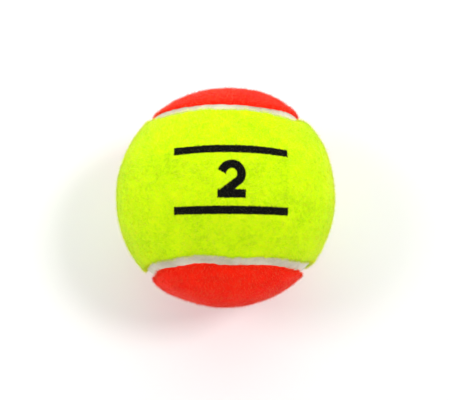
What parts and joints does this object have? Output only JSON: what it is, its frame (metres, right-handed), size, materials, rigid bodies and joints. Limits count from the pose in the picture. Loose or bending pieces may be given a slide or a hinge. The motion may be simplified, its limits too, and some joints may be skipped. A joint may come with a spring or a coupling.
{
  "type": "low compression tennis ball",
  "caption": "Hollow rubber low compression tennis ball in two interlocking felt panels, yellow and orange, parted by a sunken line of pale cement; bounces slower and lower for young players.",
  "frame": {"origin": "centre of the ball", "axes": "+Z through the waist of the yellow panel, +X through a yellow lobe, +Y through an orange lobe; the ball lies on its orange waist, at -Z"},
  "size_m": [0.066, 0.066, 0.066],
  "materials": {
    "core_rubber": "matte",
    "core_cement": "satin",
    "backing_rubber": "matte",
    "yellow_felt": "matte",
    "orange_felt": "matte",
    "seam_rubber": "satin"
  },
  "bodies": {
    "root": {"core_cup_upper": "core_rubber", "core_cup_lower": "core_rubber", "core_joint_cement": "core_cement", "core_cement_coat": "core_cement", "yellow_felt_backing": "backing_rubber", "orange_felt_backing": "backing_rubber", "yellow_felt_panel": "yellow_felt", "orange_felt_panel": "orange_felt", "seam_cement": "seam_rubber"}
  },
  "joints": []
}
